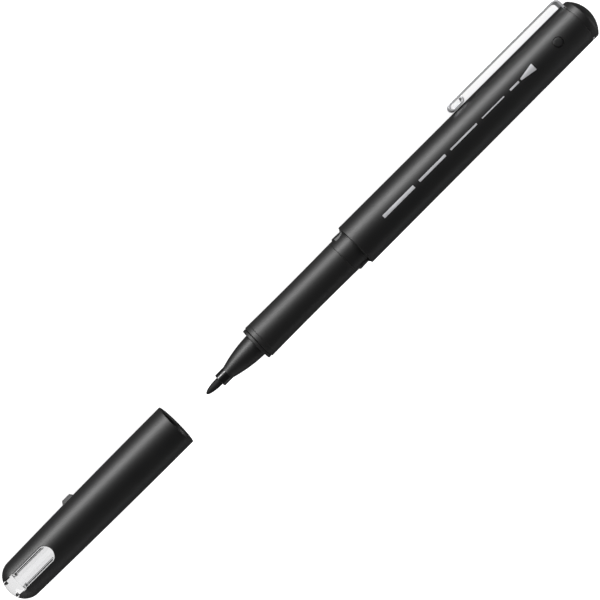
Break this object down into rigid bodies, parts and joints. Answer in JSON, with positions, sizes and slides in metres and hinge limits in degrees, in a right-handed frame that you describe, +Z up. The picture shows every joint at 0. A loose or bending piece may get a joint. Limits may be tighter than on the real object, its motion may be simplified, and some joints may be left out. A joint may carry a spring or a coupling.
{
  "type": "fineliner pen",
  "caption": "Fineliner pen lying with its cap drawn off: waisted grip, bullet fibre nib, sprung steel pocket clip and a tapered cap with a clear window.",
  "frame": {"origin": "on the desk, at the middle of the length and width of the pen as it lies with its cap off", "axes": "+X along the pen's axis towards its rear plug, +Z up from the desk, the clip on the +Y side"},
  "size_m": [0.2024, 0.0142, 0.0119],
  "materials": {
    "black_plastic": "moulded polypropylene with a fine satin grain",
    "soft_grip": "soft moulded sleeve, satin",
    "soft_seal": "soft moulded ring, matt",
    "gloss_tip": "turned acetal, glossy",
    "fibre_nib": "bonded fibre rod soaked with ink",
    "ink_fibre": "fibre bundle soaked with ink",
    "clear_film": "thin clear film",
    "clear_plastic": "clear moulded plastic, polished",
    "spring_steel": "bright nickel-plated spring steel strip"
  },
  "bodies": {
    "pen": {"barrel": "black_plastic", "end_plug": "black_plastic", "clip_strap": "spring_steel", "front_body": "black_plastic", "grip_sleeve": "soft_grip", "seal_ring": "soft_seal", "nose_cone": "black_plastic", "tip_sleeve": "gloss_tip", "nib": "fibre_nib", "ink_core": "ink_fibre", "core_wrap": "clear_film", "breather_tube": "clear_film"},
    "cap": {"cap_shell": "black_plastic", "inner_cap": "clear_plastic"},
    "clip": {"pocket_clip": "spring_steel"}
  },
  "joints": [
    {"name": "cap_slide", "type": "slide", "parent": "pen", "child": "cap", "axis": [1, 0, 0], "range_m": [0, 0.0624]},
    {"name": "clip_flex", "type": "hinge", "parent": "pen", "child": "clip", "pos_m": [0.09741, 0.00403, 0.00298], "axis": [0, -0.5025, -0.8646], "range_deg": [0, 4], "stiffness_Nm_per_rad": 1}
  ]
}
